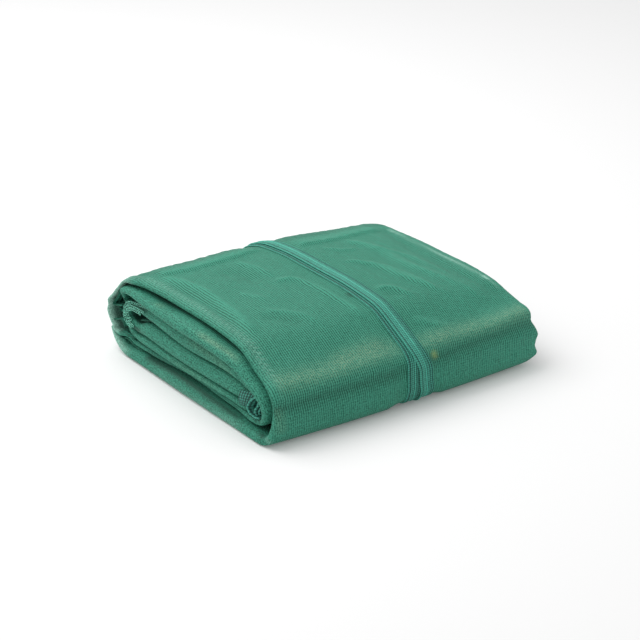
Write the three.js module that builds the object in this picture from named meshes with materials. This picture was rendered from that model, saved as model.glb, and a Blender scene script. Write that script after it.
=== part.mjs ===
import * as THREE from 'three';

// Olive harvest net, folded and tied for storage. Millimetres, +Z up, +X along the packet, -Y its front.
// The origin is on the ground, under the middle of the packet's outline.
// The net is first folded lengthwise, ply on ply, into a band as wide as the packet is long. The band is
// then rolled up flat, so that one section runs through seven passes, each a little apart from the next.

const LENGTH = 460;          // the band's width, which is the packet's length
const BASE_FRONT = -181;     // the flat base runs between these two along Y
const BASE_BACK = 130;
const RIGHT_DROP = 0.15;     // share by which the packet is lower at its right end
const DROP_FROM = 36;        // x where that fall begins
const FRONT_BOW = 8;         // how far the front bulges out between its two ends
const CENTRE_X = -0.5;       // middle of the outline that the rows below give
const CENTRE_Y = 0.95;

const TIE_X = 9;             // middle of the upper turn of the tie is at TIE_X + UPPER_SHIFT
const UPPER_SHIFT = 6;
const LOWER_SHIFT_TOP = -2;  // the lower turn shows less beside the upper one on the top
const LOWER_SHIFT_FRONT = -9;
const TIE_WIDTH = 24;
const TIE_THICK = 1.5;
const TIE_GAP = 0.4;         // between the tie and the net, and between its two turns
const TIE_START_Y = -40;     // the tie's two ends are tucked under the packet
const TIE_RAMP_Y = -100;
const TIE_END_Y = -116;
const PRESS_BASE = 4.6;      // depth of the channel that the tie lies in under the packet
const PRESS_FLAT = 22.5;     // half the width over which the tie presses the net evenly
const PRESS_RAMP = 24;       // and how far the dent fades out beside that

const RAD = Math.PI / 180;

// One row for each section of the rolled band, from its inner end outward. y and z are the middle of the
// band, heading is its direction in degrees (0 to the back, 90 up, 180 to the front, 270 down), thick its
// thickness, left and right how far its folded edges lie in from the packet's nominal ends, round how far
// each edge takes to round off, and press how deep the tie dents its outer side.
const FOLDS = [
  // section               y      z heading thick left right round press
  ['inner end',           -140,     52,     0,    17,    6,    9,   10,    0],
  ['core front',          -105,   55.5,     0,    24,    3,    8,   13,    0],
  ['core middle',            0,   55.4,     0,  22.4,    0,    6,   13,    0],
  ['core back',            105,   58.5,     3,    21,    1,    7,   11,    0],
  ['eye bottom',           137,     54,     8,    16,    4,    9,    8,    0],
  ['eye',                159.5,   67.5,    90,    20,    3,   10,    9,    0],
  ['eye top',              135,     81,   178,    16,    4,    9,    8,    0],
  ['second back',          105,   84.5,   184,    18,    4,    7,   10,    0],
  ['second middle',          0,   79.6,   181,    23,    2,    5,   13,    0],
  ['second front',        -105,   78.2,   184,  15.5,    3,    6,   11,    0],
  ['second shoulder',     -141,   67.9,   207,   9.6,    5,    8,    8,    0],
  ['first front turn',    -168,     47,   270,    11,    6,    9,    8,    0],
  ['third shoulder',      -146,   34.5,   346,   8.5,    7,    8,    7,    0],
  ['third front',         -105,     36,   360,    10,    5,    7,    7,    0],
  ['third middle',           0,   37.2,   360,    11,    2,    5,    9,    0],
  ['third back',           105,   38.5,   361,    13,    2,    6,    9,    0],
  ['third rise',           150,   38.5,   375,     9,    5,    8,    7,    0],
  ['first back turn',      179,     69,   450,   8.5,   13,    9,    7,    0],
  ['fourth back edge',     170,     99,   520,    10,    0,    8,    8,    0],
  ['fourth back',          105,  101.7,   542,    12,   -3,    6,   10,    0],
  ['fourth middle',          0,  101.7,   540,  17.5,   -6,    4,   13,    0],
  ['fourth front',        -105,     95,   545,  13.5,   -4,    4,   12,    0],
  ['fourth shoulder',     -148,   78.5,   567,  10.5,   -2,    6,   10,    0],
  ['second front turn', -184.5,     45,   630,    12,    1,    6,   10,    0],
  ['fifth shoulder',      -158,   22.5,   712,   8.5,    6,    7,    8,    0],
  ['fifth front',         -105,   24.6,   720,   8.6,    9,    7,    7,    0],
  ['fifth middle',           0,   27.2,   720,   6.2,   10,    7,    6,    0],
  ['fifth back',           105,   24.8,   720,     8,    6,    7,    7,    0],
  ['fifth rise',           166,   24.8,   738,     6,    9,    8,    5,    0],
  ['rim foot',             191,   33.5,   773,     8,    5,    6,    6,    1],
  ['second back turn',   208.5,     60,   810,  12.5,    2,    4,    6,  2.2],
  ['top back edge',        195,     94,   838,    11,    5,    4,    8,  2.6],
  ['top back slope',       164,  113.3,   880,    10,   11,    4,   12,  2.6],
  ['top back',             105,  119.4,   896,  12.5,   14,    4,   20,  1.4],
  ['top middle',             0,  119.4,   900,    13,   14,    2,   24,  1.4],
  ['top front',           -105,  112.4,   910,    13,   14,    0,   24,  1.4],
  ['front shoulder',      -156,     90,   928,    12,   12,   -2,   20,  2.4],
  ['front bulge',         -199,     51,   990,    12,    8,   -5,   15,  2.4],
  ['front foot',        -196.5,     12,  1035,  11.5,   -1,   -4,    8,  3.5],
  ['base front',          -181,    6.7,  1080,  13.4,   -4,    0,    9,  4.6],
  ['base middle',            0,     11,  1080,    22,   -6,    0,   15,  4.6],
  ['base back',            130,    8.2,  1080,  15.5,   -4,    3,   13,  4.6],
  ['back foot',            178,   12.3,  1112,   9.5,   -3,    5,    9,    3],
  ['outer end',            203,     34,  1155,     5,    1,    7,    4,  1.5],
].map(([section, y, z, heading, thick, left, right, round, press]) =>
  ({ section, y, z, heading, thick, left, right, round, press }));

const TURN_STEP = 17;        // degrees of turn for each facet along the section
const LONG_STEP = 42;        // longest facet along a straight run
const END_ANGLES = [0, 31, 62, 90];   // steps round a folded edge, from its tip to a side

const mix = (a, b, t) => a + (b - a) * t;
const clamp01 = (t) => Math.min(1, Math.max(0, t));
const smooth = (t) => clamp01(t) ** 2 * (3 - 2 * clamp01(t));

// A point on the curve between two rows, a cubic that leaves each row along its heading.
function between(a, b, t) {
  const chord = Math.hypot(b.y - a.y, b.z - a.z);
  const turn = Math.abs(b.heading - a.heading) * RAD;
  const pull = turn < 0.01 ? chord : (chord * 2 * Math.tan(turn / 4)) / Math.sin(turn / 2);
  const [h00, h10] = [2 * t ** 3 - 3 * t ** 2 + 1, t ** 3 - 2 * t ** 2 + t];
  const [h01, h11] = [-2 * t ** 3 + 3 * t ** 2, t ** 3 - t ** 2];
  const [d00, d10] = [6 * t ** 2 - 6 * t, 3 * t ** 2 - 4 * t + 1];
  const [d01, d11] = [-6 * t ** 2 + 6 * t, 3 * t ** 2 - 2 * t];
  const [ay, az] = [pull * Math.cos(a.heading * RAD), pull * Math.sin(a.heading * RAD)];
  const [by, bz] = [pull * Math.cos(b.heading * RAD), pull * Math.sin(b.heading * RAD)];
  const dy = d00 * a.y + d10 * ay + d01 * b.y + d11 * by;
  const dz = d00 * a.z + d10 * az + d01 * b.z + d11 * bz;
  const size = Math.hypot(dy, dz);
  const eased = smooth(t);
  return {
    y: h00 * a.y + h10 * ay + h01 * b.y + h11 * by,
    z: h00 * a.z + h10 * az + h01 * b.z + h11 * bz,
    outY: dz / size,
    outZ: -dy / size,
    thick: mix(a.thick, b.thick, eased),
    left: mix(a.left, b.left, eased),
    right: mix(a.right, b.right, eased),
    round: mix(a.round, b.round, eased),
    press: mix(a.press, b.press, eased),
  };
}

// The stations along the whole section, finer where it turns.
function stations() {
  const list = [];
  FOLDS.slice(0, -1).forEach((a, i) => {
    const b = FOLDS[i + 1];
    const bySize = Math.round(Math.hypot(b.y - a.y, b.z - a.z) / LONG_STEP);
    const byTurn = Math.ceil(Math.abs(b.heading - a.heading) / TURN_STEP);
    const steps = Math.max(1, byTurn, bySize);
    for (let k = 0; k < steps; k += 1) list.push(between(a, b, k / steps));
  });
  const last = FOLDS.length - 1;
  list.push(between(FOLDS[last - 1], FOLDS[last], 1));
  return list;
}

// The two ends of the section round off over a few short stations.
function roundedOff(list) {
  const cap = (at, sign) => [75, 45, 15].map((angle) => {
    const reach = at.thick * 0.5 * Math.sin(angle * RAD) * sign;
    const grow = Math.cos(angle * RAD);
    const more = (1 - grow) * at.thick * 0.4;
    return {
      ...at,
      y: at.y - at.outZ * reach,
      z: at.z + at.outY * reach,
      thick: at.thick * grow,
      press: at.press * grow,
      left: at.left + more,
      right: at.right + more,
    };
  });
  const end = list[list.length - 1];
  return [...cap(list[0], -1), ...list, ...cap(end, 1).reverse()];
}

const dent = (x) => 1 - smooth((Math.abs(x - TIE_X) - PRESS_FLAT) / PRESS_RAMP);
const drop = (x) => 1 - RIGHT_DROP * clamp01((x - DROP_FROM) / (LENGTH / 2 - DROP_FROM));

// Places on the band's sides that every station shares, so that neighbouring passes keep their gap.
const SIDE_X = [
  -150,
  TIE_X - PRESS_FLAT - PRESS_RAMP,
  TIE_X - PRESS_FLAT,
  TIE_X + PRESS_FLAT,
  TIE_X + PRESS_FLAT + PRESS_RAMP,
  140,
];

// The closed outline of the band at one station, as x and the distance outward from the band's middle.
function outline(at) {
  const [x0, x1, half] = [-LENGTH / 2 + at.left, LENGTH / 2 - at.right, at.thick / 2];
  const edge = END_ANGLES.map((a) => [at.round * (1 - Math.cos(a * RAD)), half * Math.sin(a * RAD)]);
  const side = [
    ...edge.map(([inward, n]) => [x0 + inward, n]),
    ...SIDE_X.map((x) => [x, half]),
    ...[...edge].reverse().map(([inward, n]) => [x1 - inward, n]),
  ];
  const outer = side.map(([x, n]) => [x, n - at.press * dent(x)]);
  const inner = side.slice(1, -1).reverse().map(([x, n]) => [x, -n]);
  return [...outer, ...inner];
}

// A closed solid through a row of outlines that match point for point.
function solid(rings) {
  const size = rings[0].length;
  const positions = rings.flat(2);
  const index = [];
  const id = (i, j) => i * size + (j % size);
  for (let i = 0; i + 1 < rings.length; i += 1) {
    for (let j = 0; j < size; j += 1) {
      index.push(id(i, j), id(i + 1, j), id(i + 1, j + 1));
      index.push(id(i, j), id(i + 1, j + 1), id(i, j + 1));
    }
  }
  // Each end is closed by a ladder between the two sides of its outline.
  const half = size / 2;
  for (const [i, flip] of [[0, false], [rings.length - 1, true]]) {
    for (let j = 0; j < half; j += 1) {
      const [a, b, c, d] = [id(i, j), id(i, j + 1), id(i, size - j - 1), id(i, size - j)];
      const faces = [];
      if (j + 1 < half) faces.push([a, b, c]);
      if (j + 1 === half) faces.push([a, b, d]);
      if (j > 0 && j + 1 < half) faces.push([a, c, d]);
      for (const [p, q, r] of faces) index.push(...(flip ? [p, r, q] : [p, q, r]));
    }
  }
  const geometry = new THREE.BufferGeometry();
  geometry.setAttribute('position', new THREE.Float32BufferAttribute(positions, 3));
  geometry.setIndex(index);
  geometry.computeVertexNormals();
  return geometry;
}

// The packet as it lies: a little lower to the right, and bowed along its front.
function settled(x, y, z) {
  const bow = FRONT_BOW * (1 - Math.min(1, Math.abs(x) / (LENGTH / 2)) ** 2);
  return [x - CENTRE_X, y - CENTRE_Y - bow * smooth(-y / 190), z * drop(x)];
}

// The band's own surface, with the base brought flat to the ground.
const placed = (at, n) => [at.y + at.outY * n, Math.max(0, at.z + at.outZ * n)];
function point(at, x, n) {
  const [y, z] = placed(at, n);
  const flat = z < 0.6 && y > BASE_FRONT - 4 && y < BASE_BACK;
  return settled(x, y, flat ? 0 : z);
}

const path = roundedOff(stations());
const bandRings = path.map((at) => outline(at).map(([x, n]) => point(at, x, n)));
const bandMaterial = new THREE.MeshStandardMaterial({ color: 0x3f8b72, roughness: 0.85, metalness: 0 });
const netBand = new THREE.Mesh(solid(bandRings), bandMaterial);
netBand.name = 'net_band';

// The tight outline that the tie takes round the dented packet, from the base's back edge up and over to
// its front.
function tightOutline() {
  const points = path.map((at) => placed(at, at.thick / 2 - at.press));
  points.sort((p, q) => p[0] - q[0] || p[1] - q[1]);
  const cross = (o, a, b) => (a[0] - o[0]) * (b[1] - o[1]) - (a[1] - o[1]) * (b[0] - o[0]);
  const chain = (list) => list.reduce((kept, p) => {
    while (kept.length > 1 && cross(kept[kept.length - 2], kept[kept.length - 1], p) < 2) kept.pop();
    return [...kept, p];
  }, []);
  const lower = chain(points);
  const upper = chain([...points].reverse());
  const loop = [...lower.slice(0, -1), ...upper.slice(0, -1)];
  const first = loop.findIndex(([y, z]) => z < 6 && y > 0);
  return [...loop.slice(first), ...loop.slice(0, first)];
}

// Each corner of that outline with the direction that carries it outward.
function corners(loop) {
  return loop.map((p, i) => {
    const [before, after] = [loop[(i + loop.length - 1) % loop.length], loop[(i + 1) % loop.length]];
    const normal = (a, b) => {
      const size = Math.hypot(b[0] - a[0], b[1] - a[1]);
      return [(b[1] - a[1]) / size, -(b[0] - a[0]) / size];
    };
    const [n, m] = [normal(before, p), normal(p, after)];
    const scale = 1 + n[0] * m[0] + n[1] * m[1];
    return { y: p[0], z: p[1], outY: (n[0] + m[0]) / scale, outZ: (n[1] + m[1]) / scale };
  });
}

// The strip runs twice round: the lower turn lies on the net and the upper one on the lower.
function tieRings() {
  const round = corners(tightOutline());
  const under = (y) => ({ y, z: PRESS_BASE, outY: 0, outZ: -1 });
  const onTop = (c) => clamp01((c.outZ + 0.2) / 1.1);
  const lowerShift = (c) => mix(LOWER_SHIFT_FRONT, LOWER_SHIFT_TOP, onTop(c));
  const turn = (list, gap, shift) => list.map((c) => ({ ...c, gap, x: TIE_X + shift(c) }));
  const lower = [under(TIE_START_Y), ...round, under(TIE_RAMP_Y)];
  const upper = [under(TIE_START_Y - 12), ...round, under(TIE_END_Y)];
  const rows = [
    ...turn(lower, TIE_GAP, lowerShift),
    ...turn(upper, 2 * TIE_GAP + TIE_THICK, () => UPPER_SHIFT),
  ];
  return rows.map(({ x, y, z, outY, outZ, gap }) => {
    const corner = (side, d) => settled(x + (side * TIE_WIDTH) / 2, y + outY * d, z + outZ * d);
    return [corner(-1, gap), corner(-1, gap + TIE_THICK), corner(1, gap + TIE_THICK), corner(1, gap)];
  });
}

const tieMaterial = new THREE.MeshStandardMaterial({ color: 0x4baa91, roughness: 0.75, metalness: 0 });
const tieStrip = new THREE.Mesh(solid(tieRings()), tieMaterial);
tieStrip.name = 'tie_strip';

const packet = new THREE.Group();
packet.add(netBand, tieStrip);
export default packet;
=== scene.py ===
"""Folded olive harvest net, tied for storage. Metres, +Z up, +X along the packet, -Y its front.

The net is one thick band of plies, rolled up flat in seven passes, and its outline at each station is swept
along that section. The tie runs twice round it.
"""
import math

import bpy
import numpy as np
from mathutils import Matrix, Vector


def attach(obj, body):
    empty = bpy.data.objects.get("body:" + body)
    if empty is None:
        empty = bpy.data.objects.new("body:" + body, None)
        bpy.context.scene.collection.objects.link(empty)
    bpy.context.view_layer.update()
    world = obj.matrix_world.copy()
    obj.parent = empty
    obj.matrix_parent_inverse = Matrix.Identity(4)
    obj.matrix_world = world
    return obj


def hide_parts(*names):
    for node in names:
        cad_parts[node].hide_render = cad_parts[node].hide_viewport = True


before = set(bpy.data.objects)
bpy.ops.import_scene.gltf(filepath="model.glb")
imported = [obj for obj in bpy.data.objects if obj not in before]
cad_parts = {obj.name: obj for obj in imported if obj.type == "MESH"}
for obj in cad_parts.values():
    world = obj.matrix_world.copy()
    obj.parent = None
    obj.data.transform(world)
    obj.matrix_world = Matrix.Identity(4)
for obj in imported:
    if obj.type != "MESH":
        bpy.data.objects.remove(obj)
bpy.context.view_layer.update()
MM = 0.001

# The camera
FOCAL_PX = 2000              # focal length in pixels of the square picture
PICTURE_PX = 640
SENSOR_WIDTH = 36            # of Blender's camera, in millimetres
CAMERA_AZIMUTH = -35.83
CAMERA_ELEVATION = 23.85
CAMERA_DISTANCE = 2.875
CAMERA_AIM = Vector((0.0045, 0.009, 0.05))


def make_camera():
    azimuth, elevation = math.radians(CAMERA_AZIMUTH), math.radians(CAMERA_ELEVATION)
    back = Vector((math.sin(azimuth) * math.cos(elevation),
                   -math.cos(azimuth) * math.cos(elevation), math.sin(elevation)))
    data = bpy.data.cameras.new("camera")
    data.lens = SENSOR_WIDTH * FOCAL_PX / PICTURE_PX
    camera = bpy.data.objects.new("camera", data)
    bpy.context.scene.collection.objects.link(camera)
    place = Matrix.Translation(CAMERA_AIM + back * CAMERA_DISTANCE)
    camera.matrix_world = place @ back.to_track_quat("Z", "Y").to_matrix().to_4x4()
    bpy.context.scene.camera = camera


make_camera()

# The net's rolled section, in millimetres
LENGTH = 460
BASE_FRONT = -181
BASE_BACK = 130
RIGHT_DROP = 0.15
DROP_FROM = 36
FRONT_BOW = 8                # how far the middle of the front stands out past its ends
BOW_REACH = 190
CENTRE_X = -0.5
CENTRE_Y = 0.95
TIE_X = 9
UPPER_SHIFT_TOP = 6          # how far the middle of the tie's upper turn lies to the right of TIE_X
UPPER_SHIFT_FRONT = 15
LOWER_SHIFT_TOP = -2         # and that of its lower turn, which lies to the left
LOWER_SHIFT_FRONT = -8
TIE_WIDTH = 24
TIE_THICK = 1.5
TIE_GAP = 0.55
TIE_START_Y = -40
TIE_RAMP_Y = -100
TIE_END_Y = -116
PRESS_BASE = 4.6             # how deep the tie dents the base
PRESS_FLAT = 27              # from the tie's middle to where its dent starts to fade
PRESS_RAMP = 24              # over which it fades

# Each section gives, in this order: y and z of the band's middle, its heading in degrees, its thickness, how
# far its left and right folded edges lie in, how far an edge takes to round off, and how deep the tie
# dents it.
FOLDS = {
    "inner end": (-140, 52, 0, 17, 6, 9, 10, 0),
    "core front": (-105, 55.5, 0, 24, 3, 8, 13, 0),
    "core middle": (0, 55.4, 0, 22.4, 0, 6, 13, 0),
    "core back": (105, 58.5, 3, 21, 1, 7, 11, 0),
    "eye bottom": (138, 52, 8, 12, 4, 9, 6, 0),
    "eye": (163, 67, 90, 13, 3, 10, 6, 0),
    "eye top": (137, 83.5, 178, 12, 4, 9, 6, 0),
    "second back": (105, 84.5, 184, 18, 4, 7, 10, 0),
    "second middle": (0, 79.6, 181, 23, 2, 5, 13, 0),
    "second front": (-105, 78.2, 184, 15.5, 3, 6, 11, 0),
    "second shoulder": (-141, 67.9, 207, 9.6, 5, 8, 8, 0),
    "first front turn": (-168, 47, 270, 11, 24, 9, 8, 0),
    "third shoulder": (-146, 34.5, 346, 8.5, 7, 8, 7, 0),
    "third front": (-105, 36, 360, 10, 5, 7, 7, 0),
    "third middle": (0, 37.2, 360, 11, 2, 5, 9, 0),
    "third back": (105, 38.5, 361, 13, 2, 6, 9, 0),
    "third rise": (150, 38.5, 375, 9, 5, 8, 7, 0),
    "first back turn": (179, 69, 450, 8.5, 13, 9, 7, 0),
    "fourth back edge": (170, 99, 520, 10, 0, 8, 8, 0),
    "fourth back": (105, 101.7, 542, 12, -3, 6, 10, 0),
    "fourth middle": (0, 101.7, 540, 17.5, -6, 4, 13, 0),
    "fourth front": (-105, 95, 545, 13.5, -4, 4, 12, 0),
    "fourth shoulder": (-148, 78.5, 567, 10.5, -2, 6, 10, 0),
    "second front turn": (-184.5, 45, 630, 12, 1, 6, 10, 0),
    "fifth shoulder": (-158, 22.5, 712, 8.5, 6, 7, 8, 0),
    "fifth front": (-105, 24.6, 720, 8.6, 9, 7, 7, 0),
    "fifth middle": (0, 27.2, 720, 6.2, 10, 7, 6, 0),
    "fifth back": (105, 24.8, 720, 8, 6, 7, 7, 0),
    "fifth rise": (166, 24.8, 738, 6, 9, 8, 5, 0),
    "rim foot": (191, 33.5, 773, 8, 0, 6, 6, 1),
    "second back turn": (208.5, 60, 810, 12.5, -1, 4, 6, 2.2),
    "top back edge": (195, 94, 838, 11, 0, 4, 8, 2.6),
    "top back slope": (164, 113.3, 880, 10, 5, 4, 12, 2.6),
    "top back": (105, 119.4, 896, 12.5, 12, 4, 20, 1.4),
    "top middle": (0, 119.4, 900, 13, 14, 2, 24, 1.4),
    "top front": (-105, 112.4, 910, 13, 14, 0, 24, 1.4),
    "front shoulder": (-156, 90, 928, 12, 12, -2, 20, 2.4),
    "front bulge": (-199, 51, 990, 12, 8, -5, 15, 2.4),
    "front foot": (-196.5, 12, 1035, 11.5, -1, -4, 8, 3.5),
    "base front": (-181, 6.7, 1080, 13.4, -4, 0, 9, 4.6),
    "base middle": (0, 11, 1080, 22, -6, 0, 15, 4.6),
    "base back": (130, 8.2, 1080, 15.5, -4, 3, 13, 4.6),
    "back foot": (178, 11.6, 1112, 8.5, -3, 5, 7, 3),
    "outer end": (202, 31, 1150, 3.4, 0, 7, 3, 1.5),
}
NAMES = list(FOLDS)
ROWS = np.array([FOLDS[name] for name in NAMES], float)

OUTER_STEP = 2.8             # distance between stations where the outermost pass shows
INNER_STEP = 8.0
BASE_STEP = 12.0
TURN_STEP = 12.0             # most degrees of turn between stations
CAP_ANGLES = (80, 60, 40, 20)    # steps in which the band rounds off at its two ends
CAP_PULL = 0.4               # how far its folded edges draw in there, over its thickness


def run_of(name):
    """Place of a named section along the band, counted in sections."""
    return float(NAMES.index(name))


def smooth(t):
    t = np.clip(t, 0, 1)
    return t * t * (3 - 2 * t)


def stations():
    """Every station along the section, as arrays of its columns."""
    found = []
    for i in range(len(ROWS) - 1):
        a, b = ROWS[i], ROWS[i + 1]
        chord = math.hypot(b[0] - a[0], b[1] - a[1])
        turn = math.radians(abs(b[2] - a[2]))
        pull = chord if turn < 0.01 else chord * 2 * math.tan(turn / 4) / math.sin(turn / 2)
        outer = run_of("rim foot") <= i < run_of("base front")
        base = run_of("base front") <= i < run_of("base back")
        step = OUTER_STEP if outer else BASE_STEP if base else INNER_STEP
        count = max(1, round(chord / step), math.ceil(math.degrees(turn) / TURN_STEP))
        last = i == len(ROWS) - 2
        for t in np.arange(count + last) / count:
            way_a = pull * np.array([math.cos(math.radians(a[2])), math.sin(math.radians(a[2]))])
            way_b = pull * np.array([math.cos(math.radians(b[2])), math.sin(math.radians(b[2]))])
            place = ((2 * t**3 - 3 * t**2 + 1) * a[:2] + (t**3 - 2 * t**2 + t) * way_a
                     + (3 * t**2 - 2 * t**3) * b[:2] + (t**3 - t**2) * way_b)
            along = ((6 * t**2 - 6 * t) * (a[:2] - b[:2]) + (3 * t**2 - 4 * t + 1) * way_a
                     + (3 * t**2 - 2 * t) * way_b)
            along /= np.hypot(*along)
            e = smooth(t)
            found.append([*place, along[1], -along[0], *(a[3:] + (b[3:] - a[3:]) * e), i + t])
    table = np.array(found)
    for end, sign in ((0, -1), (-1, 1)):
        caps = []
        for angle in CAP_ANGLES:
            at = table[end].copy()
            reach = at[4] / 2 * math.sin(math.radians(angle)) * sign
            grow = math.cos(math.radians(angle))
            at[0] -= at[3] * reach
            at[1] += at[2] * reach
            at[4] *= grow
            at[5:7] += (1 - grow) * table[end][4] * CAP_PULL
            caps.append(at)
        table = np.vstack([caps, table]) if sign < 0 else np.vstack([table, caps[::-1]])
    keys = ("y", "z", "out_y", "out_z", "thick", "left", "right", "round", "press", "run")
    return {key: table[:, k] for k, key in enumerate(keys)}


def dent(x):
    return 1 - smooth((np.abs(x - TIE_X) - PRESS_FLAT) / PRESS_RAMP)


def drop(x):
    return 1 - RIGHT_DROP * np.clip((x - DROP_FROM) / (LENGTH / 2 - DROP_FROM), 0, 1)


def settled(x, y, z):
    """The packet as it lies, in metres: lower to the right, and bowed along its front."""
    bow = FRONT_BOW * (1 - np.minimum(1, np.abs(x) / (LENGTH / 2))**2)
    return np.stack([x - CENTRE_X, y - CENTRE_Y - bow * smooth(-y / BOW_REACH), z * drop(x)], -1) * MM


FULLNESS = 0.72              # below 1, a folded edge is squarer than a round one
LEAN = 0.26                  # how far the foot of a folded edge stands out past its top, over its height
LEAN_REACH = 34
EDGE_STEPS = 9               # points round a folded edge, from its tip to a side
LEFT_NEAR = [3, 6, 9, 12, 15, 18, 21, 24, 27, 30, 34, 38, 43, 48]
OUTER_COUNT = 106
INNER_COUNT = 9
SIDE_START = 52              # from the left edge's rounding to the evenly spaced points of a side
SIDE_STOP = 3                # from the last of them to the right edge's rounding


def outline():
    """The loop round the band, point by point: its kind, its place, and its side (+1 outer, -1 inner). The
    place is an angle round an edge, a distance from the left edge's rounding, or a share of the side."""
    angles = np.linspace(0, 90, EDGE_STEPS + 1)
    loop = [("left", a, 1) for a in angles]
    loop += [("near", d, 1) for d in LEFT_NEAR]
    loop += [("side", t, 1) for t in np.linspace(0, 1, OUTER_COUNT)]
    loop += [("right", a, 1) for a in angles[::-1]]
    loop += [("right", a, -1) for a in angles[1:]]
    loop += [("side", t, -1) for t in np.linspace(1, 0, INNER_COUNT)]
    loop += [("near", d, -1) for d in LEFT_NEAR[::-3]]
    loop += [("left", a, -1) for a in angles[:0:-1]]
    return loop


def band_points(at):
    """x and the distance outward for every station (rows) and every point of the loop (columns)."""
    left, right = -LENGTH / 2 + at["left"], LENGTH / 2 - at["right"]
    half, rnd = at["thick"] / 2, at["round"]
    xs, ns = [], []
    for kind, value, side in outline():
        if kind in ("left", "right"):
            inward = rnd * (1 - math.cos(math.radians(value))**FULLNESS)
            xs.append(left + inward if kind == "left" else right - inward)
            ns.append(side * half * math.sin(math.radians(value))**FULLNESS)
        else:
            start, stop = left + rnd + SIDE_START, right - rnd - SIDE_STOP
            xs.append(left + rnd + value if kind == "near" else start + (stop - start) * value)
            ns.append(side * half)
    x, n = np.stack(xs, 1), np.stack(ns, 1)
    outer = np.array([side > 0 for _, _, side in outline()])
    n -= np.where(outer, at["press"][:, None] * dent(x), 0)
    run = at["run"][:, None]
    inside = 1 - smooth((run - run_of("fifth rise")) / 1.5)
    lean = LEAN * (inside + 0.5 * smooth(run - run_of("front foot"))) * at["out_z"][:, None] * n
    x += lean * (1 - smooth((x - left[:, None]) / LEAN_REACH))
    x, n = flange(at, x, n, outer)
    return right_kinks(at, x, n), n, outer


# The outer pass ends at the back left in a thin flange: its kinked outline in y and z, seen from the left.
FLANGE = [(180, 14), (193, 17), (198, 22), (199, 33), (204, 39), (210, 48), (212.5, 57), (208.5, 65),
          (210.5, 73.5), (194, 88.5), (181, 104), (169, 117), (160, 122)]
FLANGE_THICK = 3.4
FLANGE_DEEP = 12             # from the left edge to where the pass starts to thicken
FLANGE_BLEND = 10            # over which it comes to its full thickness
FLANGE_REACH = 75            # from the left edge to where the kinks have died away
FLANGE_FAR = 26              # the farthest that the outline may lie from the middle of the band
INNER_STAYS = 0.6            # share of the kinks that the pass's inner face doesn't follow


def flange(at, x, n, outer):
    """Brings the outer pass to the kinked outline of its flange, and thins it there."""
    run = at["run"]
    share = smooth((run - run_of("rim foot") + 0.6) / 0.6)
    share *= smooth((run_of("top back slope") + 0.3 - run) / 0.9)
    line = np.array(FLANGE)
    a, d = line[:-1], np.diff(line, axis=0)
    left = -LENGTH / 2 + at["left"]
    for i in np.where(share > 0)[0]:
        here = np.array([at["y"][i], at["z"][i]])
        way = np.array([at["out_y"][i], at["out_z"][i]])
        across = way[0] * -d[:, 1] + way[1] * d[:, 0]
        gap = a - here
        far = (gap[:, 0] * -d[:, 1] + gap[:, 1] * d[:, 0]) / across
        t = (way[0] * gap[:, 1] - way[1] * gap[:, 0]) / across
        hits = far[(t >= 0) & (t <= 1) & (np.abs(far) < FLANGE_FAR)]
        if not len(hits):
            continue
        half = at["thick"][i] / 2
        reach = hits.max() - half
        away = x[i] - left[i]
        kinked = share[i] * (1 - smooth(away / FLANGE_REACH))
        thin = share[i] * (1 - smooth((away - FLANGE_DEEP) / FLANGE_BLEND))
        depth = (half - n[i]) / (2 * half)
        n[i] += kinked * reach * (1 - INNER_STAYS * depth * (1 - thin))
        n[i] += thin * depth * (2 * half - FLANGE_THICK)
    return x, n


# How far the right edge stands in or out at each height on the front, in millimetres.
RIGHT_KINKS = [(0, -22), (5, -18), (9, -13), (14, -6), (19, -3), (30, -8), (38, -5), (45, -1), (54, -4),
               (63, -6), (73, 2), (84, 3), (95, 2), (112, 0)]
KINK_REACH = 46


def right_kinks(at, x, n):
    """Sets the folded edge at the right of the front in and out."""
    run = at["run"][:, None]
    share = smooth((run - run_of("top front") - 0.3) / 0.7)
    share *= smooth((run_of("base front") + 0.35 - run) / 0.35)
    height = (at["z"][:, None] + at["out_z"][:, None] * n) * (1 - RIGHT_DROP)
    shift = np.interp(height, *zip(*RIGHT_KINKS))
    return x + share * shift * smooth((x - (LENGTH / 2 - KINK_REACH)) / KINK_REACH)


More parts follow.
